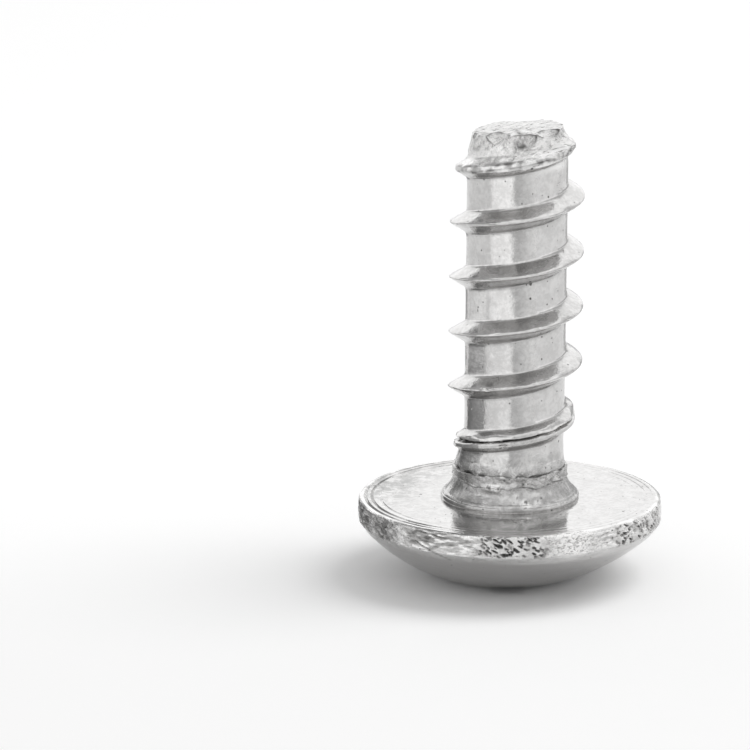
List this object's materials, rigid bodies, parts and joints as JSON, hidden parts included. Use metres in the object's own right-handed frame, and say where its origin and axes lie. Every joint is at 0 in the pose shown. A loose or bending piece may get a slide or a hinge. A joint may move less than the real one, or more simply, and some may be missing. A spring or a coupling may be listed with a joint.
{
  "type": "truss head screw",
  "caption": "Truss head self-tapping screw with a coarse right-hand thread, a blunt cut point, a flared neck and a cross recess in a low domed head.",
  "frame": {"origin": "centre of the bearing face under the head, on the screw's axis", "axes": "+Z along the screw's axis from the bearing face to the point; the wings of the recess lie along X and Y"},
  "size_m": [0.0068, 0.0068, 0.0102],
  "materials": {
    "stainless_steel": "bright, satin from rolling, rough where the rim was trimmed and the end was cut"
  },
  "bodies": {
    "root": {"screw": "stainless_steel"}
  },
  "joints": []
}
